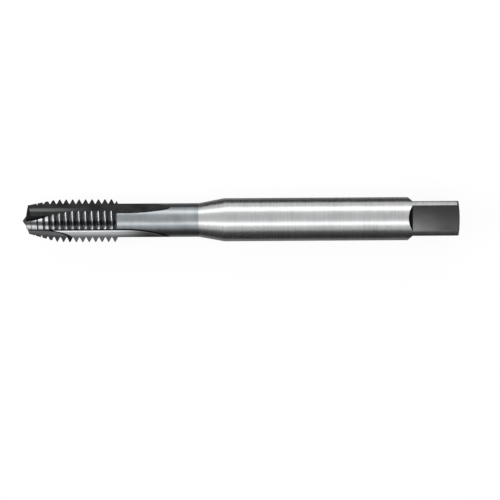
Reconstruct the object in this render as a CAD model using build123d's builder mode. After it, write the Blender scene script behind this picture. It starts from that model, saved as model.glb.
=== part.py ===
from build123d import *
from math import acos, degrees, radians, sin, sqrt, tan
import os

# Machine tap for a right-hand M10 x 1.5 thread, with three straight flutes, a
# spiral point and a reinforced shank, ground from one bar. Millimetres.
# It is built standing on its axis, front rim at height 0 and drive end up,
# with angles counted about that axis, and is laid on its side at the end.

# Lengths, counted from the front rim
overall_length = 100.0
thread_length = 20.4
thread_shoulder = 0.45
neck_end = 39.6
cone_length = 5.9
square_length = 11.0

# Diameters
thread_diameter = 10.0
neck_diameter = 7.8
shank_diameter = 10.0

# Thread form: flanks at sixty degrees, a narrow flat on crest and root
pitch = 1.5
flank_angle = 30.0
crest_flat = 0.15
root_flat = 0.12
first_root = -2.39

# Groove on one land: how far ahead of the cutting edge it starts, and what
# share of the way to the next land it goes, from one open flute to another
groove_ahead = 20.0
groove_share = 0.75

# Lead: the crests taper down to the front rim over about four pitches
rim_diameter = 7.3
lead_angle = 11.0

# Front face, slightly domed, with the male centre that it was ground on
face_angle = 9.5
point_diameter = 2.3
point_length = 1.2
point_flat = 0.3

# Female centre in the drive end
centre_mouth = 3.0
centre_pilot = 1.4
centre_depth = 3.2
centre_angle = 30.0
drill_point_angle = 59.0

# Flutes: the outline of the wheel that grinds them, and how it leaves the neck
flute_count = 3
cutting_edge_turn = 64.5
core_diameter = 4.5
flute_corner = 2.0
flute_opening = 88.0
rake_angle = 5.0
flute_straight = 23.8
wheel_radius = 27.0
wheel_lean = 31.0

# Spiral point: a second grind along each cutting face, slanting into the land
spiral_length = 10.2
spiral_angle = 10.8
spiral_dip = 1.0
spiral_rise = 0.5

# Driving square
square_width = 8.0
square_shoulder_angle = 45.0

# Drive end: bevelled at the rim and slightly domed
end_bevel_width = 0.9
end_bevel_length = 0.5
end_dome_radius = 28.0

# How far a cut runs out into the air
clearance = 1.5

thread_radius = thread_diameter / 2
neck_radius = neck_diameter / 2
shank_radius = shank_diameter / 2
rim_radius = rim_diameter / 2
core_radius = core_diameter / 2


# Turned blank, before any thread or flute: half its outline spun about the axis
face_rise = (rim_radius - point_diameter / 2) * tan(radians(face_angle))
lead_length = (thread_radius - rim_radius) / tan(radians(lead_angle))
centre_cone = (centre_mouth - centre_pilot) / 2 / tan(radians(centre_angle))
drill_point = centre_pilot / 2 / tan(radians(drill_point_angle))
bevel_radius = shank_radius - end_bevel_width


def dome_height(radius):
    fall = sqrt(end_dome_radius ** 2 - (centre_mouth / 2) ** 2) - sqrt(end_dome_radius ** 2 - radius ** 2)
    return overall_length - fall


with BuildPart() as blank:
    with BuildSketch(Plane.XZ):
        with BuildLine():
            Polyline(
                (0, -point_length),
                (point_flat / 2, -point_length),
                (point_diameter / 2, -face_rise),
                (rim_radius, 0),
                (thread_radius, lead_length),
                (thread_radius, thread_length),
                (neck_radius, thread_length + thread_shoulder),
                (neck_radius, neck_end),
                (shank_radius, neck_end + cone_length),
                (shank_radius, dome_height(bevel_radius) - end_bevel_length),
                (bevel_radius, dome_height(bevel_radius)),
            )
            RadiusArc(
                (bevel_radius, dome_height(bevel_radius)),
                (centre_mouth / 2, overall_length),
                end_dome_radius,
            )
            Polyline(
                (centre_mouth / 2, overall_length),
                (centre_pilot / 2, overall_length - centre_cone),
                (centre_pilot / 2, overall_length - centre_depth),
                (0, overall_length - centre_depth - drill_point),
                (0, -point_length),
            )
        make_face()
    revolve(axis=Axis.Z)


# Outline of the grinding wheel. Its flat side lies along the cutting face, its
# rounded corner reaches down to the core, and its other side leaves the heel
# of the next land. The cutting edge itself is on the thread diameter.
face_height = thread_radius * sin(radians(rake_angle))
corner_x = sqrt((core_radius + flute_corner) ** 2 - (flute_corner - face_height) ** 2)
apex_x = corner_x - flute_corner / tan(radians(flute_opening / 2))
wheel_reach = thread_radius + clearance
heel_x = apex_x + (wheel_reach + face_height) / tan(radians(flute_opening))


def wheel_outline(plane):
    with BuildSketch(plane) as outline:
        with BuildLine():
            Polyline(
                (apex_x, face_height),
                (wheel_reach, face_height),
                (wheel_reach, -wheel_reach),
                (heel_x, -wheel_reach),
                close=True,
            )
        make_face()
        fillet(outline.vertices().sort_by_distance((0, 0))[0], flute_corner)
    return outline.sketch


# Flute: straight from the front, then up and out of the neck on the arc of the
# wheel, which is fed in from the open side of the flute
feed = Vector(1, 0, 0).rotate(Axis.Z, -wheel_lean)
feed_plane = Plane((0, 0, 0), x_dir=feed, z_dir=feed.cross(Vector(0, 0, 1)))
lift = neck_radius - core_radius + clearance
run_out = degrees(acos(1 - lift / wheel_radius))

with BuildPart() as flute:
    with BuildLine(feed_plane) as travel:
        straight = Line((0, -clearance), (0, flute_straight))
        JernArc(straight @ 1, straight % 1, wheel_radius, -run_out)
    sweep(sections=wheel_outline(Plane.XY.offset(-clearance)), path=travel.line)


# Spiral point: the same wheel held a little higher than the flute's bottom and
# turned across the axis, so that towards the front it eats into the land
with BuildPart() as spiral_grind:
    slant = Plane((spiral_rise, 0, spiral_length)).rotated((spiral_angle, spiral_dip, 0))
    outline = wheel_outline(slant)
    extrude(outline, amount=clearance)
    extrude(outline, amount=-(spiral_length + 2 * clearance))


# Thread groove: the gap between two crests, where it crosses one land. It
# starts in the flute ahead of the cutting edge and ends in the one behind the
# heel. The next land's groove is a third of a turn and of a pitch further on.
groove_depth = (pitch - crest_flat - root_flat) / 2 / tan(radians(flank_angle))
root_radius = thread_radius - groove_depth
groove_top = thread_radius + crest_flat / 4 / tan(radians(flank_angle))
groove_half = root_flat / 2 + (groove_top - root_radius) * tan(radians(flank_angle))
groove_arc = groove_share * 360 / flute_count
groove_start = cutting_edge_turn - groove_ahead

with BuildPart() as groove:
    with BuildLine():
        helix = Helix(pitch, pitch * groove_arc / 360, root_radius)
    with BuildSketch(Plane.XZ):
        with BuildLine():
            Polyline(
                (root_radius, -root_flat / 2),
                (groove_top, -groove_half),
                (groove_top, groove_half),
                (root_radius, root_flat / 2),
                close=True,
            )
        make_face()
    sweep(path=helix, is_frenet=True)

groove_places = []
for land in range(flute_count):
    turn = groove_start + 360 * land / flute_count
    height = first_root + pitch * turn / 360
    while height < thread_length + thread_shoulder + groove_half:
        groove_places.append(Location((0, 0, height), (0, 0, turn)))
        height += pitch


# Driving square: what a cutter takes away to leave one flat and its shoulder
flat_height = square_width / 2
shoulder_height = overall_length - square_length
shoulder_run = (wheel_reach - flat_height) / tan(radians(square_shoulder_angle))

with BuildPart() as flat_cut:
    with BuildSketch(Plane.XZ):
        with BuildLine():
            Polyline(
                (flat_height, shoulder_height),
                (flat_height, overall_length + clearance),
                (wheel_reach, overall_length + clearance),
                (wheel_reach, shoulder_height - shoulder_run),
                close=True,
            )
        make_face()
    extrude(amount=wheel_reach, both=True)


# The cuts are made in the order of the workshop's, but for the thread, which
# comes last
with BuildPart() as tap:
    add(blank.part)
    with PolarLocations(0, 4):
        add(flat_cut.part, mode=Mode.SUBTRACT)
    with PolarLocations(0, flute_count, start_angle=cutting_edge_turn - rake_angle):
        add(flute.part, mode=Mode.SUBTRACT)
        add(spiral_grind.part, mode=Mode.SUBTRACT)
    with Locations(groove_places):
        add(groove.part, mode=Mode.SUBTRACT)

# Laid on its shank, point to the left and one land on top. The origin is under
# the middle of the whole length.
middle = (overall_length - point_length) / 2
lying = Plane(origin=(-middle, 0, shank_radius), x_dir=(0, 1, 0), z_dir=(1, 0, 0))

with BuildPart(lying) as thread_tap:
    add(tap.part)

thread_tap.part.label = "thread_tap"
os.makedirs("parts", exist_ok=True)
export_step(thread_tap.part, "parts/thread_tap.step")
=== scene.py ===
# %% [markdown]
# # A machine tap, modelled and lit in Blender
#
# The object is a spiral-pointed machine tap: a bar of high-speed steel that
# cuts a thread in a drilled hole. From its point to its drive end it has a
# threaded part with three flutes, a thin neck, a round shank and a square.
#
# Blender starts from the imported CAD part, which fixes the outer sizes. The CAD
# node is right in shape but is a net of loose triangles with one finish, so the
# tap is modelled again here, with the steps of the workshop: turn the blank,
# mill the square, grind the flutes and the point, cut the thread. Each cutter
# then leaves its own finish on the faces that it cuts.

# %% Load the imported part
from math import acos, cos, degrees, pi, radians, sin, sqrt, tan

import bmesh
import bpy
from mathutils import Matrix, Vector


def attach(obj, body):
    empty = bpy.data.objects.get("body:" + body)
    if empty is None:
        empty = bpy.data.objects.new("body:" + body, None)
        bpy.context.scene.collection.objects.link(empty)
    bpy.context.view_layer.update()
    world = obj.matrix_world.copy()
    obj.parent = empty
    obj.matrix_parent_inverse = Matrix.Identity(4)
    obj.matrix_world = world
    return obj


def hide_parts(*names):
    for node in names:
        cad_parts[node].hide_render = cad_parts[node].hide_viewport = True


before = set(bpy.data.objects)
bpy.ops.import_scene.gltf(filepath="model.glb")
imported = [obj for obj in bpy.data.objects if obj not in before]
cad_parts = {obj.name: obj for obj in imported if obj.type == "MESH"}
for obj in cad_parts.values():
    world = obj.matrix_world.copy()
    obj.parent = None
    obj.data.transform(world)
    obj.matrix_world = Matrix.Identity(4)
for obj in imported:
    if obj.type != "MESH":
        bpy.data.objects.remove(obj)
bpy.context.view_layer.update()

# %% [markdown]
# ## The main sizes
#
# The tap stands on its point while it is made, in millimetres: the axis is Z,
# the front rim is at height 0 and the drive end is up. Small numbers such as a
# crest of 0.15 are safer to model in millimetres than in metres, because
# Blender merges points by distance. The finished piece is laid down and scaled
# to metres at the end. The sizes in this cell are those of the CAD part.

# %% Main sizes
overall_length = 100.0
thread_length = 20.4
neck_end = 39.6
shank_start = 45.5
square_length = 11.0
thread_radius = 5.0
neck_radius = 3.9
shank_radius = 5.0
pitch = 1.5
land_count = 3
cutting_edge_turn = 64.5
lathe_sides = 192
overrun = 1.5
print("Tap of", overall_length, "mm, turned with", lathe_sides, "sides")

# %% [markdown]
# ## Helpers for work in edit mode
#
# An operator acts on everything that is selected, and the loaded part comes
# selected. So each new primitive starts from an empty selection, and the faces
# or points that a step needs are picked by where they are.


# %% Helpers
def rest_hands():
    """Leave edit mode and deselect everything."""
    if bpy.context.object and bpy.context.object.mode == "EDIT":
        bpy.ops.object.mode_set(mode="OBJECT")
    bpy.ops.object.select_all(action="DESELECT")


def take_up(piece):
    """Make this the one selected and active object."""
    rest_hands()
    piece.select_set(True)
    bpy.context.view_layer.objects.active = piece


def apply_place(piece):
    """Move a piece's turn, scale and place into its mesh."""
    take_up(piece)
    bpy.ops.object.transform_apply(location=True, rotation=True, scale=True)


def pick_points(piece, wanted):
    """Select, in edit mode, the points that a rule on their place wants."""
    mesh = bmesh.from_edit_mesh(piece.data)
    bpy.ops.mesh.select_mode(type="VERT")
    bpy.ops.mesh.select_all(action="DESELECT")
    for point in mesh.verts:
        if wanted(point.co):
            point.select_set(True)
    mesh.select_flush_mode()
    bmesh.update_edit_mesh(piece.data)


def paint_faces(piece, slot, wanted):
    """In edit mode, give a finish's slot to the faces that a rule wants."""
    mesh = bmesh.from_edit_mesh(piece.data)
    bpy.ops.mesh.select_mode(type="FACE")
    bpy.ops.mesh.select_all(action="DESELECT")
    for face in mesh.faces:
        if wanted(face.calc_center_median(), face.normal):
            face.select_set(True)
    bmesh.update_edit_mesh(piece.data)
    piece.active_material_index = slot
    bpy.ops.object.material_slot_assign()


def face_outwards():
    """In edit mode, turn all the faces of a closed piece outwards."""
    bpy.ops.mesh.select_all(action="SELECT")
    bpy.ops.mesh.normals_make_consistent(inside=False)


print("Helpers ready")

# %% [markdown]
# ## Cutting, and a fixed order
#
# A cutter is taken out of the tap with a Boolean modifier, which lets the cut
# faces keep the cutter's finish. Blender's tools may number the points and
# faces of a mesh differently from one run to the next, and the modifier's
# result differs a little with that order. So each mesh is rebuilt with its
# points and faces sorted by place before it is cut. From run to run, the
# points of the finished tap then stay within a thousandth of a millimetre.


# %% Cutting helpers
def put_in_order(piece):
    """Number the points and faces by their place, which is the same each run."""
    old = piece.data
    order = sorted(range(len(old.vertices)), key=lambda index: tuple(old.vertices[index].co))
    rank = {index: place for place, index in enumerate(order)}
    faces = []
    for face in old.polygons:
        corners = [rank[index] for index in face.vertices]
        first = corners.index(min(corners))
        faces.append((corners[first:] + corners[:first], face.material_index))
    faces.sort()
    places = [old.vertices[index].co for index in order]
    ordered = bpy.data.meshes.new(piece.name)
    ordered.from_pydata(places, [], [corners for corners, slot in faces])
    for material in old.materials:
        ordered.materials.append(material)
    for face, (corners, slot) in zip(ordered.polygons, faces):
        face.material_index = slot
    piece.data = ordered
    bpy.data.meshes.remove(old)


def turned_copy(piece, turn):
    """A copy with its own mesh, turned about the tap's axis."""
    take_up(piece)
    bpy.ops.object.duplicate(linked=False)
    copy = bpy.context.object
    copy.rotation_euler = (0, 0, radians(turn))
    apply_place(copy)
    return copy


def cut_away(piece, cutter):
    """Take the cutter's shape out of the piece, and put the cutter away."""
    put_in_order(piece)
    put_in_order(cutter)
    take_up(piece)
    cut = piece.modifiers.new("cut", "BOOLEAN")
    cut.operation = "DIFFERENCE"
    cut.solver = "MANIFOLD"
    cut.material_mode = "TRANSFER"
    cut.object = cutter
    bpy.ops.object.modifier_apply(modifier=cut.name)
    bpy.data.objects.remove(cutter)


print("Cutting helpers ready")

# %% [markdown]
# ## Shader maths as plain expressions
#
# A finish needs sums such as one minus a mask. A small class wraps the output
# of a node, and the usual signs on it add Math nodes, so that the recipe of a
# finish reads like arithmetic. Every other node comes from one method.


# %% Class for shader sockets
class Wire:
    """The output of a node, on which plain arithmetic adds Math nodes."""

    def __init__(self, recipe, socket):
        self.recipe = recipe
        self.socket = socket

    def maths(self, operation, *values):
        sockets = dict(enumerate(values))
        return self.recipe.add("ShaderNodeMath", {"operation": operation}, sockets)

    def __add__(self, other):
        return self.maths("ADD", self, other)

    def __radd__(self, other):
        return self.maths("ADD", other, self)

    def __sub__(self, other):
        return self.maths("SUBTRACT", self, other)

    def __rsub__(self, other):
        return self.maths("SUBTRACT", other, self)

    def __mul__(self, other):
        return self.maths("MULTIPLY", self, other)

    def __rmul__(self, other):
        return self.maths("MULTIPLY", other, self)

    def within(self, start, full):
        """A smooth rise from 0 at start to 1 at full, whichever is larger."""
        return self.recipe.add(
            "ShaderNodeMapRange",
            {"interpolation_type": "SMOOTHSTEP"},
            {"Value": self, "From Min": start, "From Max": full},
        )


print("Sockets can be added, subtracted and multiplied")

# %% [markdown]
# ## A book of recipes
#
# Each finish is one material, and all of them need the same few readings: where
# a point lies along the tap, how far it is from the axis, and how far behind a
# cutting edge. They read Object coordinates, because the pattern then stays on
# the steel from any side. Grinding marks are noise that is stretched along the
# way the wheel ran.

# %% Class for finishes
micrometre = 0.000001


class Recipe:
    """The nodes of one material, built from the steel's own shader."""

    def __init__(self, name, metallic=1.0):
        self.material = bpy.data.materials.new(name)
        self.material.use_nodes = True
        self.tree = self.material.node_tree
        self.steel = self.tree.nodes["Principled BSDF"]
        self.steel.inputs["Metallic"].default_value = metallic
        self.place = self.add("ShaderNodeTexCoord", {}, {}, "Object")

    def add(self, kind, settings, sockets, output=0):
        """A node of a kind, with its settings and the values of its sockets."""
        node = self.tree.nodes.new(kind)
        for setting, value in settings.items():
            setattr(node, setting, value)
        for socket, value in sockets.items():
            self.connect(node.inputs[socket], value)
        return Wire(self, node.outputs[output])

    def connect(self, socket, value):
        """Link a wire to a socket, or set a plain value on it."""
        if isinstance(value, Wire):
            self.tree.links.new(value.socket, socket)
        else:
            socket.default_value = value

    def streaks(self, fineness, detail=3.0):
        """Noise whose swings in a millimetre along X, Y and Z are given."""
        scale = [1000 * swings for swings in fineness]
        stretched = self.add("ShaderNodeMapping", {}, {"Vector": self.place, "Scale": scale})
        sockets = {"Vector": stretched, "Scale": 1.0, "Detail": detail}
        return self.add("ShaderNodeTexNoise", {}, sockets)

    def along(self, axis):
        """Distance from the origin along X, Y or Z, in millimetres."""
        return 1000 * self.add("ShaderNodeSeparateXYZ", {}, {"Vector": self.place}, axis)

    def from_axis(self):
        """Distance from the tap's axis, in millimetres."""
        across = self.add(
            "ShaderNodeMapping",
            {},
            {"Vector": self.place, "Location": (0, 0, -shank_radius), "Scale": (0, 1000, 1000)},
        )
        return self.add("ShaderNodeVectorMath", {"operation": "LENGTH"}, {0: across}, "Value")

    def behind_edge(self):
        """Angle behind the cutting edge, from 0 to a third of a turn."""
        across = self.along("Y")
        upward = self.along("Z") - shank_radius
        turn = across.maths("ARCTAN2", across, upward)
        edge = radians(90 - cutting_edge_turn)
        return turn.maths("FLOORED_MODULO", edge - turn, 2 * pi / land_count)

    def tint(self, first, second, share):
        """A colour between two, each a triple or a wire, by a share from 0 to 1."""
        ends = [end if isinstance(end, Wire) else (*end, 1.0) for end in (first, second)]
        return self.add(
            "ShaderNodeMix",
            {"data_type": "RGBA"},
            {"Factor": share, "A": ends[0], "B": ends[1]},
            "Result",
        )

    def mottle(self, dark, light, share):
        """A colour that wanders between two with a noise."""
        return self.tint(dark, light, share.within(0.3, 0.7))

    def finish(self, colour, roughness, relief, depth):
        """Feed the shader: a colour, a roughness, and marks of a depth in metres."""
        self.connect(self.steel.inputs["Base Color"], colour)
        self.connect(self.steel.inputs["Roughness"], roughness)
        sockets = {"Height": relief, "Strength": 1.0, "Distance": depth}
        bump = self.add("ShaderNodeBump", {}, sockets, "Normal")
        self.connect(self.steel.inputs["Normal"], bump)
        return self.material


finishes = {}
print("Recipe book open")

# %% [markdown]
# ## Finish of the shank and the cone
#
# They are ground bright. The wheel runs round the bar, so its marks are fine
# rings. An image could be wrapped round the bar, but it would show a seam.
# Noise that swings fast along the axis and slowly round it has none, and a
# second, slow noise gives the faint clouds of worn steel.


# %% Ground shank and cone
def bright_ground_steel():
    steel = Recipe("bright_ground_steel")
    rings = steel.streaks((9.0, 0.12, 0.12))
    clouds = steel.streaks((0.25, 0.3, 0.3), 2.0)
    share = 0.6 * rings + 0.4 * clouds
    colour = steel.mottle((0.54, 0.545, 0.55), (0.70, 0.705, 0.71), share)
    return steel.finish(colour, 0.24 + 0.10 * rings, rings, 1.2 * micrometre)


finishes["bright"] = bright_ground_steel()
print("Finish ready:", finishes["bright"].name)

# %% [markdown]
# ## Finish of the neck and the front
#
# The front half has a dark blue-grey coat, thin enough to show the grinding
# rings, so it stays a metal and only its colour is darker. The front face and
# the centre point are darker still. A ramp along the tap makes them so, because
# they belong to the same turned surface as the neck.


# %% Dark coat on the neck and the front
def dark_coat():
    coat = Recipe("dark_coat")
    rings = coat.streaks((7.0, 0.1, 0.1))
    clouds = coat.streaks((0.3, 0.35, 0.35), 2.0)
    share = 0.5 * rings + 0.5 * clouds
    blue_grey = coat.mottle((0.30, 0.322, 0.34), (0.42, 0.447, 0.465), share)
    front_face = coat.along("X").within(-48.6, -49.5)
    colour = coat.tint(blue_grey, (0.10, 0.105, 0.11), front_face)
    return coat.finish(colour, 0.26 + 0.10 * rings, rings, 1.2 * micrometre)


finishes["coat"] = dark_coat()
print("Finish ready:", finishes["coat"].name)

# %% [markdown]
# ## Finish of the cutting faces in the flutes
#
# A flute is ground lengthwise, so its marks run along the tap. Its cutting face
# is painted light near the core, a painted reflection, and darker towards the tips
# of the teeth, as painted shade. It is also darker where the wheel leaves the neck.
# Both changes could be painted on the mesh. Ramps on the distance from the axis
# and along the tap follow it without that.


# %% Cutting faces
def coated_flute():
    flute = Recipe("coated_flute")
    grain = flute.streaks((0.25, 9.0, 9.0))
    clouds = flute.streaks((0.3, 0.5, 0.5), 2.0)
    share = 0.5 * grain + 0.5 * clouds
    # Light near the core: a painted reflection
    core_reflection = flute.mottle((0.60, 0.62, 0.64), (0.74, 0.76, 0.78), share)
    outer = flute.mottle((0.13, 0.135, 0.14), (0.20, 0.21, 0.215), share)
    distance = flute.from_axis()
    # Darker towards the tips of the teeth: painted shade
    tips = 0.8 * distance.within(4.4, 5.0)
    run_out_end = 0.95 * flute.along("X").within(-31.0, -21.0)
    with_painted_light = flute.tint(core_reflection, outer, distance.within(2.7, 3.9))
    tipped = flute.tint(with_painted_light, (0.04, 0.042, 0.044), tips)
    colour = flute.tint(tipped, (0.03, 0.031, 0.032), run_out_end)
    return flute.finish(colour, 0.26 + 0.14 * grain, grain, 1.5 * micrometre)


finishes["face"] = coated_flute()
print("Finish ready:", finishes["face"].name)

# %% [markdown]
# ## Finish of the bottom and the heel of the flutes
#
# Chips run here and no edge is honed. The coat is dark, and it is painted nearly
# black, darker than the coat elsewhere, as painted shade of the deep flute. A
# narrow band round the core is a little lighter, most of all near the front: a
# painted reflection. It could be cut into the mesh as faces of its own. A ramp up
# and a ramp down on the distance from the axis give it with soft sides instead.


# %% Dark side of the flutes
def dark_flute():
    flute = Recipe("dark_flute")
    grain = flute.streaks((0.25, 8.0, 8.0))
    clouds = flute.streaks((0.3, 0.5, 0.5), 2.0)
    share = 0.5 * grain + 0.5 * clouds
    # Nearly black: painted shade of the deep flute, over a dark coat
    dark = flute.mottle((0.012, 0.012, 0.0125), (0.030, 0.030, 0.031), share)
    distance = flute.from_axis()
    # A lighter band round the core: a painted reflection
    band = distance.within(3.1, 2.75) * distance.within(2.25, 2.5)
    core_band_reflection = band * flute.along("X").within(-34.0, -47.0)
    colour = flute.tint(dark, (0.10, 0.104, 0.105), core_band_reflection)
    return flute.finish(colour, 0.30 + 0.14 * grain, grain, 1.5 * micrometre)


finishes["flute"] = dark_flute()
print("Finish ready:", finishes["flute"].name)

# %% [markdown]
# ## Finishes of the spiral point
#
# Its slanting face is a dull grey under the coat, with painted shade that darkens
# it towards the teeth. Beside it, in the corner of the wheel's cut, a nearly black
# line is painted shade. Two finishes are needed, because that line is sharp: a ramp
# would blur it.


# %% Ground face of the spiral point
def coated_point():
    point = Recipe("coated_point", metallic=0.6)
    grain = point.streaks((3.0, 3.0, 9.0))
    ground = point.mottle((0.13, 0.135, 0.14), (0.22, 0.23, 0.24), grain)
    # Darker towards the teeth: painted shade
    teeth_shade = 0.95 * point.from_axis().within(2.8, 3.9)
    colour = point.tint(ground, (0.02, 0.021, 0.022), teeth_shade)
    return point.finish(colour, 0.45 + 0.14 * grain, grain, 1.5 * micrometre)


finishes["point"] = coated_point()
print("Finish ready:", finishes["point"].name)


# %% Painted shade in the corners of the wheel's and the milling cutter's cuts
def painted_shade_corner():
    corner = Recipe("painted_shade_corner")
    grain = corner.streaks((0.25, 8.0, 8.0))
    # Nearly black: painted shade
    colour = corner.mottle((0.008, 0.008, 0.0085), (0.018, 0.018, 0.019), grain)
    return corner.finish(colour, 0.35 + 0.14 * grain, grain, 1.5 * micrometre)


finishes["corner"] = painted_shade_corner()
print("Finish ready:", finishes["corner"].name)

# %% [markdown]
# ## Finishes of the thread
#
# Behind each cutting edge the land falls away a little, so that it doesn't rub
# in the hole. The lands look bright at the edge and at the heel, and dark
# between. The fall is far too small to model, so a bump on the angle behind the
# edge tilts the light on it, more than the real fall would. A band of painted
# shade and a painted highlight on the heel, on the same angle, do the rest. The
# crests shine. The flanks that face the point are painted light and the flanks
# that follow them are painted dark: painted highlight and painted shade on one steel.

# %% Crests and flanks
relief_slope = tan(radians(12))
relief_end = radians(38)
# Angles behind the edge where the band of painted shade and the painted heel highlight begin and end
shade_band_begins = (radians(24), radians(31))
shade_band_ends = (radians(45), radians(39))
heel_highlight_begins = (radians(40), radians(46))
heel_highlight_gain = 1.3


def relieved_steel(name, dark, light, roughness):
    """Thread steel that falls away behind the edge, with a band of painted shade between edge and heel
    and a painted highlight on the heel.
    """
    thread = Recipe(name)
    rings = thread.streaks((14.0, 0.3, 0.3))
    behind = thread.behind_edge()
    ground = thread.mottle(dark, light, rings)
    # Painted highlight on the heel
    heel_highlight = behind.within(*heel_highlight_begins)
    with_painted_light = thread.tint(ground, [heel_highlight_gain * part for part in light], heel_highlight)
    # Band of painted shade between the edge and the heel
    shade_band = behind.within(*shade_band_begins) * behind.within(*shade_band_ends)
    colour = thread.tint(with_painted_light, (0.05, 0.052, 0.054), 0.85 * shade_band)
    fall = behind.maths("MINIMUM", behind, relief_end)
    relief = 0.001 * rings - relief_slope * thread_radius * fall
    return thread.finish(colour, roughness + 0.12 * rings, relief, 0.001)


# The two flanks are one steel: the light leading flanks are painted light, and the dark following
# flanks are painted shade.
thread_greys = {
    "crest": ("crests", (0.46, 0.48, 0.49), (0.60, 0.62, 0.63), 0.24),
    "leading": ("leading_flanks_painted_light", (0.55, 0.57, 0.58), (0.72, 0.74, 0.75), 0.40),
    "following": ("following_flanks_painted_shade", (0.05, 0.052, 0.054), (0.10, 0.105, 0.11), 0.30),
}
for part, greys in thread_greys.items():
    finishes[part] = relieved_steel(*greys)
    print("Finish ready:", finishes[part].name)

# %% [markdown]
# ## Finish of the square
#
# The square is milled before the steel is hardened, and keeps a dark, duller
# skin from the furnace. The passes of the cutter run along the tap. Two ramps
# darken the flats towards +Y, as painted shade, and towards the drive end.


# %% Milled square with its hardening skin
def milled_square():
    skin = Recipe("milled_square")
    passes = skin.streaks((0.2, 5.0, 5.0))
    clouds = skin.streaks((0.35, 0.35, 0.35), 3.0)
    share = 0.5 * passes + 0.5 * clouds
    patchy = skin.mottle((0.24, 0.24, 0.24), (0.32, 0.32, 0.32), share)
    # Darker towards +Y: painted shade
    across = skin.tint(patchy, (0.04, 0.04, 0.04), 0.90 * skin.along("Y").within(-4.0, 3.0))
    # Darker towards the drive end
    colour = skin.tint(across, (0.05, 0.05, 0.05), 0.75 * skin.along("X").within(39.0, 48.0))
    return skin.finish(colour, 0.30 + 0.2 * passes, passes, 2 * micrometre)


finishes["square"] = milled_square()
print("Finish ready:", finishes["square"].name)

# %% [markdown]
# ## Turning the blank
#
# The blank could be a profile spun about the axis, or a circle drawn up ring
# by ring. The second keeps its closed ends from the start: the flat of the
# point is a filled circle, and each extrusion takes it to the next height,
# where it is scaled to that ring's radius. The last rings go back down into
# the centre hole of the drive end.

# %% Heights and radii of the rings
point_tip = -1.2
point_flat_radius = 0.15
point_radius = 1.15
face_angle = radians(9.5)
rim_radius = 3.65
lead_angle = radians(11)
thread_shoulder = 0.45
end_bevel_width = 0.9
end_bevel_length = 0.5
dome_radius = 28.0
dome_rings = 5
centre_mouth = 1.5
centre_pilot = 0.7
centre_depth = 3.2
centre_angle = radians(30)
drill_angle = radians(59)


def dome_height(radius):
    """Height of the slightly domed drive end at a distance from its axis."""
    fall = sqrt(dome_radius ** 2 - centre_mouth ** 2) - sqrt(dome_radius ** 2 - radius ** 2)
    return overall_length - fall


bevel_radius = shank_radius - end_bevel_width
front_rings = [
    (point_radius, -(rim_radius - point_radius) * tan(face_angle)),
    (rim_radius, 0),
    (thread_radius, (thread_radius - rim_radius) / tan(lead_angle)),
    (thread_radius, thread_length),
    (neck_radius, thread_length + thread_shoulder),
    (neck_radius, neck_end),
]
back_rings = [
    (shank_radius, shank_start),
    (shank_radius, dome_height(bevel_radius) - end_bevel_length),
]
for step in range(dome_rings + 1):
    radius = bevel_radius + (centre_mouth - bevel_radius) * step / dome_rings
    back_rings.append((radius, dome_height(radius)))
centre_cone = (centre_mouth - centre_pilot) / tan(centre_angle)
back_rings.append((centre_pilot, overall_length - centre_cone))
back_rings.append((centre_pilot, overall_length - centre_depth))
print(len(front_rings), "rings in front,", len(back_rings), "behind")

# %% [markdown]
# ## Drawing the blank up
#
# The blank needs four finishes: bright steel behind, coat in front, crests on
# the threaded part, and a milled skin on the end. They are given by height and
# by the way a face looks, before any cut, so that what a cutter leaves of them
# keeps them.

# %% Draw the blank up from its point
drill_tip = (0.05, overall_length - centre_depth - centre_pilot / tan(drill_angle))


def next_ring(last, ring):
    """Extrude the open end to a ring's height, and scale it to its radius."""
    rise = ring[1] - last[1]
    growth = ring[0] / last[0]
    bpy.ops.mesh.extrude_region_move(TRANSFORM_OT_translate={"value": (0, 0, rise)})
    bpy.ops.transform.resize(value=(growth, growth, 1), center_override=(0, 0, ring[1]))
    return ring


rest_hands()
bpy.ops.mesh.primitive_circle_add(
    vertices=lathe_sides, radius=point_flat_radius, fill_type="NGON", location=(0, 0, point_tip)
)
tap = bpy.context.object
tap.name = "tap"
apply_place(tap)
for part in ("bright", "coat", "crest", "square"):
    tap.data.materials.append(finishes[part])
bpy.ops.object.mode_set(mode="EDIT")
bpy.ops.mesh.select_all(action="SELECT")
last_ring = (point_flat_radius, point_tip)
for ring in front_rings + back_rings + [drill_tip]:
    last_ring = next_ring(last_ring, ring)
bpy.ops.mesh.merge(type="CENTER")
face_outwards()
paint_faces(tap, 1, lambda place, normal: place.z < neck_end)
paint_faces(tap, 2, lambda place, normal: 0 < place.z < thread_length)
paint_faces(tap, 3, lambda place, normal: place.z > shank_start and normal.z > 0.3)
rest_hands()
print("Blank turned:", len(tap.data.polygons), "faces")

# %% [markdown]
# ## Milling the square
#
# Four flats are cut into the end of the shank, and each ends in a slope where
# the milling cutter came out. One cutter is a cube whose lower inner edge is
# pulled up, which makes that slope. It is used four times, a quarter turn on.
# The slope gets the corner finish, which is painted shade.

# %% One flat's cutter, used four times
flat_height = 4.0
reach = 6.5
shoulder_height = overall_length - square_length
shoulder_run = reach - flat_height
low = Vector((flat_height, -reach, shoulder_height - shoulder_run))
high = Vector((reach, reach, overall_length + overrun))

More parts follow.
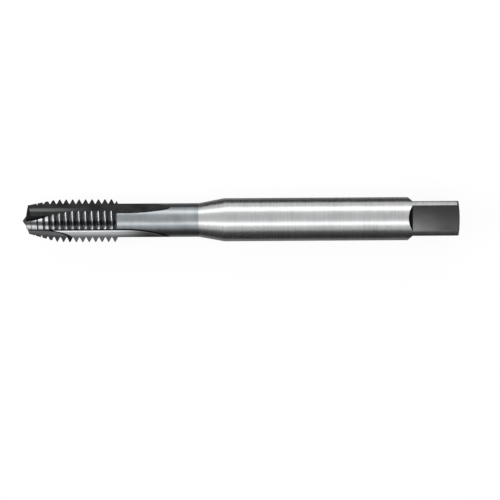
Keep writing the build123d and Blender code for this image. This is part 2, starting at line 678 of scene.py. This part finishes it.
rest_hands()
bpy.ops.mesh.primitive_cube_add(size=1, location=(low + high) / 2)
flat_tool = bpy.context.object
flat_tool.scale = high - low
apply_place(flat_tool)
flat_tool.data.materials.append(finishes["square"])
flat_tool.data.materials.append(finishes["corner"])
bpy.ops.object.mode_set(mode="EDIT")
pick_points(flat_tool, lambda place: place.x < flat_height + 0.1 and place.z < shoulder_height)
bpy.ops.transform.translate(value=(0, 0, shoulder_run))
paint_faces(flat_tool, 1, lambda place, normal: normal.z < -0.3)
for quarter in range(4):
    cut_away(tap, turned_copy(flat_tool, 90 * quarter))
bpy.data.objects.remove(flat_tool)
print("Square milled:", len(tap.data.polygons), "faces")

# %% [markdown]
# ## The edge of the grinding wheel
#
# A flute is what the edge of a grinding wheel leaves behind. Its outline, seen
# along the tap, has a flat side on the cutting face, a rounded corner near the
# core and a second side on the heel of the next land. The outline is a plane:
# its four points are moved into place, and the one near the core is bevelled
# round.

# %% Outline of the wheel
rake = 5.0
opening = radians(88.0)
corner_segments = 16
face_height = thread_radius * sin(radians(rake))


def wheel_outline(finish, side_finish, core_radius, corner_round):
    """The outline of the wheel's edge, rounded where it nears the core."""
    corner_x = sqrt((core_radius + corner_round) ** 2 - (corner_round - face_height) ** 2)
    corner_cut = corner_round / tan(opening / 2)
    apex_x = corner_x - corner_cut
    heel_x = apex_x + (reach + face_height) / tan(opening)
    corners = [(apex_x, face_height), (reach, face_height), (reach, -reach), (heel_x, -reach)]
    rest_hands()
    bpy.ops.mesh.primitive_plane_add(size=2)
    piece = bpy.context.object
    piece.data.materials.append(finish)
    piece.data.materials.append(side_finish)
    bpy.ops.object.mode_set(mode="EDIT")
    starts = [(-1, 1), (1, 1), (1, -1), (-1, -1)]
    for (old_x, old_y), (new_x, new_y) in zip(starts, corners):
        pick_points(piece, lambda place: abs(place.x - old_x) + abs(place.y - old_y) < 0.01)
        bpy.ops.transform.translate(value=(new_x - old_x, new_y - old_y, 0))
    pick_points(piece, lambda place: (place.xy - Vector(corners[0])).length < 0.01)
    bpy.ops.mesh.bevel(offset=corner_cut, segments=corner_segments, affect="VERTICES")
    bpy.ops.mesh.select_all(action="SELECT")
    return piece


print("Wheel's flat side stands", round(face_height, 3), "mm off the axis")

# %% [markdown]
# ## Grinding the flutes
#
# The wheel's outline is drawn straight up the tap, and then spun on the wheel's
# radius, so that the flute runs out of the neck in a curve. A curve with a
# bevel could do it too, but its end would need closing by hand. The core and
# the corner are a little smaller than the CAD part's, as the real flutes look.

# %% One flute's cutter: straight, then out of the neck on the wheel's radius
core_radius = 1.92
flute_corner = 0.7
flute_straight = 22.95
wheel_radius = 27.0
wheel_lean = radians(31.0)
run_out_steps = 16
seam_gap = 0.0001
lift = neck_radius - core_radius + overrun
run_out = acos(1 - lift / wheel_radius)
feed = Vector((cos(wheel_lean), -sin(wheel_lean), 0))

flute_tool = wheel_outline(finishes["face"], finishes["flute"], core_radius, flute_corner)
bpy.ops.transform.translate(value=(0, 0, -overrun))
bpy.ops.mesh.extrude_region_move(
    TRANSFORM_OT_translate={"value": (0, 0, flute_straight + overrun)}
)
bpy.ops.mesh.spin(
    steps=run_out_steps,
    angle=run_out,
    center=feed * wheel_radius + Vector((0, 0, flute_straight)),
    axis=feed.cross(Vector((0, 0, 1))),
)
bpy.ops.mesh.select_all(action="SELECT")
bpy.ops.mesh.remove_doubles(threshold=seam_gap)
face_outwards()
paint_faces(flute_tool, 1, lambda place, normal: normal.y < 0.9)
rest_hands()
flute_top = max(point.co.z for point in flute_tool.data.vertices)
print("Flute cutter reaches height", round(flute_top, 2), "over", round(degrees(run_out), 1), "degrees")

# %% [markdown]
# ## Grinding the spiral point
#
# At the front the same wheel goes in a second time, leaning across the axis,
# so that it eats deeper into the land the nearer it comes to the point. This
# slanting face pushes the chips ahead of the tap. It is what tells a
# right-hand tap from a left-hand one at a glance. A narrow strip next to the
# wheel's flat side is split off with a bisect, and gets the corner finish of painted shade.

# %% One spiral point's cutter
point_lift = 0.1
point_height = 10.2
point_lean = radians(10.8)
point_dip = radians(1.0)
point_core = 2.25
point_corner = 2.0
dark_edge = face_height + 0.2

point_tool = wheel_outline(finishes["point"], finishes["corner"], point_core, point_corner)
bpy.ops.transform.translate(value=(0, 0, overrun))
bpy.ops.mesh.extrude_region_move(
    TRANSFORM_OT_translate={"value": (0, 0, -(point_height + 3 * overrun))}
)
face_outwards()
point_tool.rotation_euler = (0, point_dip, 0)
apply_place(point_tool)
point_tool.rotation_euler = (point_lean, 0, 0)
point_tool.location = (point_lift, 0, point_height)
apply_place(point_tool)
bpy.ops.object.mode_set(mode="EDIT")
bpy.ops.mesh.select_all(action="SELECT")
bpy.ops.mesh.bisect(plane_co=(0, dark_edge, 0), plane_no=(0, 1, 0))
paint_faces(point_tool, 1, lambda place, normal: normal.y < 0.5 or place.y < dark_edge)
rest_hands()

for land in range(land_count):
    turn = cutting_edge_turn - rake + 360 / land_count * land
    cut_away(tap, turned_copy(flute_tool, turn))
    cut_away(tap, turned_copy(point_tool, turn))
bpy.data.objects.remove(flute_tool)
bpy.data.objects.remove(point_tool)
print("Flutes and points ground:", len(tap.data.polygons), "faces")

# %% [markdown]
# ## The two grooves of the thread
#
# The groove between two crests is a V with a rounded root, and it rounds the
# crests a little. Its outline is given as one side, from the root outwards, as
# distances from the axis and from the groove's middle. A second, narrow groove
# goes deeper over the first turns. The lead has taken the crests away there,
# and the real tap still shows dark slots down towards its rim.

# %% Outlines of the grooves
crest_flat = 0.15
root_flat = 0.12
first_root = -2.39
flank = tan(radians(30))
root_radius = thread_radius - (pitch - crest_flat - root_flat) / 2 / flank
crest_start = thread_radius - 0.13
groove_turns = 16
groove_side = [
    (root_radius - 0.01, 0.0001),
    (root_radius + 0.02, root_flat / 2 + 0.03),
    (root_radius + 0.10, root_flat / 2 + 0.08),
    (crest_start, root_flat / 2 + (crest_start - root_radius) * flank),
    (thread_radius - 0.06, pitch / 2 - 0.105),
    (thread_radius - 0.02, pitch / 2 - 0.055),
    (thread_radius + 0.05, pitch / 2 - 0.01),
]
lead_turns = 4
lead_side = [(3.72, 0.05), (5.2, 0.30)]
print("Thread root at", round(root_radius, 3), "mm from the axis")

# %% [markdown]
# ## Cutting the thread
#
# A circle with as many points as the outline has is added, and its points are
# moved onto it. The Screw modifier winds it up the tap with the pitch. Each gap
# between two teeth could have a cutter of its own, but that takes dozens of
# cuts. Cut last, the one groove crosses the three lands and leaves their teeth.


# %% Wind the grooves' cutters and cut
def wind_groove(side, turns):
    """Wind a groove's cutter up the tap, from one side of its outline."""
    rest_hands()
    bpy.ops.mesh.primitive_circle_add(vertices=2 * len(side), radius=1, rotation=(pi / 2, 0, 0))
    groove = bpy.context.object
    apply_place(groove)
    groove.data.materials.append(finishes["following"])
    groove.data.materials.append(finishes["leading"])
    outline = side + [(x, -z) for x, z in reversed(side)]
    starts = [point.co.copy() for point in groove.data.vertices]
    bpy.ops.object.mode_set(mode="EDIT")
    for old, (x, z) in zip(starts, outline):
        pick_points(groove, lambda place: (place - old).length < 0.001)
        bpy.ops.transform.translate(value=(x - old.x, 0, z + first_root - old.z))
    take_up(groove)
    screw = groove.modifiers.new("thread", "SCREW")
    screw.axis = "Z"
    screw.angle = 2 * pi
    screw.screw_offset = pitch
    screw.iterations = turns
    screw.steps = lathe_sides
    screw.render_steps = lathe_sides
    bpy.ops.object.modifier_apply(modifier=screw.name)
    bpy.ops.object.mode_set(mode="EDIT")
    bpy.ops.mesh.select_mode(type="EDGE")
    bpy.ops.mesh.select_all(action="DESELECT")
    bpy.ops.mesh.select_non_manifold()
    bpy.ops.mesh.edge_face_add()
    face_outwards()
    paint_faces(groove, 1, lambda place, normal: normal.z > 0.4)
    rest_hands()
    return groove


cut_away(tap, wind_groove(groove_side, groove_turns))
cut_away(tap, wind_groove(lead_side, lead_turns))
print("Thread cut:", len(tap.data.polygons), "faces")

# %% [markdown]
# ## Laying the tap down
#
# The real tap lies on its side, point to the left and one land on top. Points
# that the cuts left nearly in one place are first made one. Turned about two
# axes, scaled from millimetres to metres and moved so that it rests on the
# floor, the piece is where the CAD part is. The transform is applied, so that
# the object itself is at the origin and the place is in the mesh.

# %% Lay down, scale to metres and shade
middle = (overall_length + point_tip) / 2
merge_distance = 0.0005
smooth_below = radians(9)

put_in_order(tap)
take_up(tap)
bpy.ops.object.mode_set(mode="EDIT")
bpy.ops.mesh.select_all(action="SELECT")
bpy.ops.mesh.remove_doubles(threshold=merge_distance)
rest_hands()
put_in_order(tap)
tap.rotation_euler = (pi / 2, 0, pi / 2)
tap.location = (-middle / 1000, 0, shank_radius / 1000)
tap.scale = (0.001, 0.001, 0.001)
apply_place(tap)
bpy.ops.object.shade_smooth_by_angle(angle=smooth_below)

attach(tap, "root")
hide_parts("thread_tap")

check = bmesh.new()
check.from_mesh(tap.data)
open_edges = sum(1 for edge in check.edges if not edge.is_manifold)
volume = check.calc_volume(signed=True) * 1e9
check.free()
print("Tap laid down:", len(tap.data.polygons), "faces,", open_edges, "open edges,")
print("volume", round(volume, 1), "cubic millimetres")

# %% [markdown]
# ## The floor
#
# A plain pale surface, far wider than the picture, with a soft fine grain so
# that it isn't a single flat colour. More light could make it white, but would
# wash out the steel. So it glows for the camera and in reflections only, and
# keeps the tap's shadow.

# %% Pale floor
floor_glow = 0.92
rest_hands()
bpy.ops.mesh.primitive_plane_add(size=6)
floor = bpy.context.object
floor.name = "floor"
paper = Recipe("pale_floor", metallic=0.0)
paper.steel.inputs["Specular IOR Level"].default_value = 0.2
grain = paper.streaks((0.05, 0.05, 0.05), 2.0)
pale = paper.tint((0.86, 0.86, 0.86), (0.88, 0.88, 0.88), grain)
floor.data.materials.append(paper.finish(pale, 0.7 + 0.1 * grain, grain, 10 * micrometre))
glow = paper.add("ShaderNodeEmission", {}, {"Color": (1.0, 1.0, 1.0, 1.0), "Strength": 1.0})
seen = sum(
    paper.add("ShaderNodeLightPath", {}, {}, ray)
    for ray in ("Is Camera Ray", "Is Glossy Ray", "Is Transmission Ray")
)
matt = Wire(paper, paper.steel.outputs[0])
lit = paper.add("ShaderNodeMixShader", {}, {0: floor_glow * seen, 1: matt, 2: glow})
paper.connect(paper.tree.nodes["Material Output"].inputs["Surface"], lit)
print("Floor laid")

# %% [markdown]
# ## Light for a bright round bar
#
# A polished bar is a mirror bent round its axis: what it shows is the room, in
# stripes along it. Two long soft boxes beside the camera give its two bright
# stripes. A lamp before the point lights the faces that look that way: the
# flanks and the ends of the teeth.


# %% Lamps
def area_lamp(name, place, turn, length, width, brightness):
    """A rectangular lamp of a brightness per area, which the camera doesn't see."""
    bpy.ops.object.light_add(type="AREA", location=place, rotation=turn)
    lamp = bpy.context.object
    lamp.name = name
    lamp.data.shape = "RECTANGLE"
    lamp.data.size = length
    lamp.data.size_y = width
    lamp.data.energy = brightness * pi * length * width
    lamp.visible_camera = False


def soft_box(name, angle, width, brightness, distance=0.5, length=1.6):
    """A long lamp parallel to the tap, at an angle from straight above."""
    place = (0, -distance * sin(radians(angle)), distance * cos(radians(angle)))
    area_lamp(name, place, (radians(angle), 0, 0), length, width, brightness)


def end_lamp(name, rise, distance, side, brightness):
    """A square lamp before the point, at an angle above the floor."""
    place = distance * Vector((-cos(radians(rise)), 0, sin(radians(rise))))
    turn = place.to_track_quat("Z", "Y").to_euler()
    area_lamp(name, place, turn, side, side, brightness)


rest_hands()
soft_box("soft_box_behind", -57, 0.20, 1.55)
soft_box("soft_box_front", 24, 0.15, 1.5)
end_lamp("end_lamp", 25, 0.6, 0.25, 12.0)

# %% [markdown]
# ## Black card beside the bar
#
# On a pale floor the edges of a bright bar would melt into it. A product studio
# stands black card low beside it, which the bar shows as dark edges. Three
# strips and a grey mat under the tap do that here. They are seen in reflections
# only, so that neither they nor their shadows are in the picture.

# %% Black strips and a grey mat
card_length = 1.2
mat_width = 0.05
mat_height = 0.00001


def card_finish(name, dark, light):
    """Dull card that wanders between two greys."""
    card = Recipe(name, metallic=0.0)
    grain = card.streaks((0.5, 0.5, 0.5), 2.0)
    colour = card.tint([dark] * 3, [light] * 3, grain)
    return card.finish(colour, 0.9 + 0.05 * grain, grain, 10 * micrometre)


def lay_card(name, place, turn, width, material):
    """A long card that is seen in reflections only."""
    rest_hands()
    bpy.ops.mesh.primitive_plane_add(size=1, location=place, rotation=(turn, 0, 0))
    card = bpy.context.object
    card.name = name
    card.scale = (card_length, width, 1)
    apply_place(card)
    card.data.materials.append(material)
    card.visible_camera = False
    card.visible_diffuse = False
    card.visible_shadow = False


black_card = card_finish("black_card", 0.02, 0.03)
grey_card = card_finish("grey_card", 0.20, 0.24)
strips = {
    "strip_behind": (0.012, 0.007),
    "strip_front": (-0.014, 0.0085),
    "strip_far": (-0.35, 0.19),
}
for name, (aside, height) in strips.items():
    lay_card(name, (0, aside, height / 2), pi / 2, height, black_card)
lay_card("dark_mat", (0, 0, mat_height), 0, mat_width, grey_card)
print("Cards laid:", len(strips) + 1)

# %% [markdown]
# ## The room
#
# The rest of the room is an even white, dim enough that a colour renders about
# as it is written. The view transform is Standard, which shows colours as they
# are, where Blender's default would soften them.

# %% World and view
room_light = 0.65
world = bpy.data.worlds.new("studio")
world.use_nodes = True
room = world.node_tree.nodes["Background"]
room.inputs["Color"].default_value = (1.0, 1.0, 1.0, 1.0)
room.inputs["Strength"].default_value = room_light
bpy.context.scene.world = world
bpy.context.scene.view_settings.view_transform = "Standard"
print("Room lit at", room_light)

# %% [markdown]
# ## The camera
#
# The picture looks straight down on the tap, which lies with its axis across
# the frame, a little above the middle. The crests on the land that lies on top
# show further from the middle of the picture than those at the outline do, and
# that gives the camera's distance: about half a metre. A long lens then takes
# in the picture's width. Turned by a third of a degree, the camera shows the
# tap's drive end slightly higher than its point.

# %% Camera
picture_width = 0.116
camera_distance = 0.55
camera_aside = (0.00204, -0.00705)
camera_turn = radians(-0.36)
rest_hands()
bpy.ops.object.camera_add(
    location=(*camera_aside, camera_distance + shank_radius / 1000), rotation=(0, 0, camera_turn)
)
camera = bpy.context.object
camera.name = "camera"
camera.data.lens = camera.data.sensor_width * camera_distance / picture_width
bpy.context.scene.camera = camera
print("Lens of", round(camera.data.lens), "mm")
